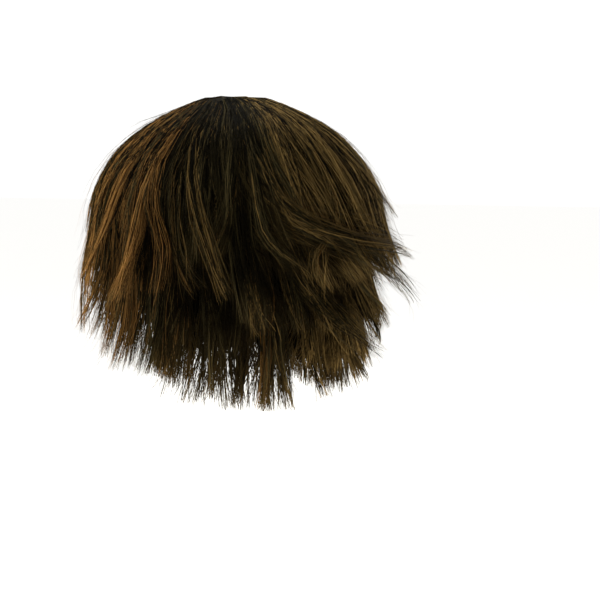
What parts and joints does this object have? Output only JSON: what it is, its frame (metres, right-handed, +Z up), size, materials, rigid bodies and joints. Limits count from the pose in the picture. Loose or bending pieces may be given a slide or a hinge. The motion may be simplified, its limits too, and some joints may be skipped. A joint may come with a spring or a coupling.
{
  "type": "synthetic wig",
  "caption": "Short layered wig in dark brown synthetic hair with copper strands, choppy flicked ends and a hollow cap that a head goes into.",
  "frame": {"origin": "inside top of the cap, where the crown of the wearer's head meets it", "axes": "+Z up, -Y towards the wearer's face, +X towards the wearer's left ear"},
  "size_m": [0.2405, 0.2928, 0.2729],
  "materials": {
    "cap_fabric": "dark stretch net and lace strips, matt",
    "hair_fibre": "dark brown synthetic fibre with copper and light brown strands, soft sheen"
  },
  "bodies": {
    "root": {"cap": "cap_fabric", "crown_hair": "hair_fibre", "front_layer": "hair_fibre", "side_layer_left": "hair_fibre", "side_layer_right": "hair_fibre", "back_layer": "hair_fibre", "fringe": "hair_fibre", "nape_hair": "hair_fibre"}
  },
  "joints": []
}
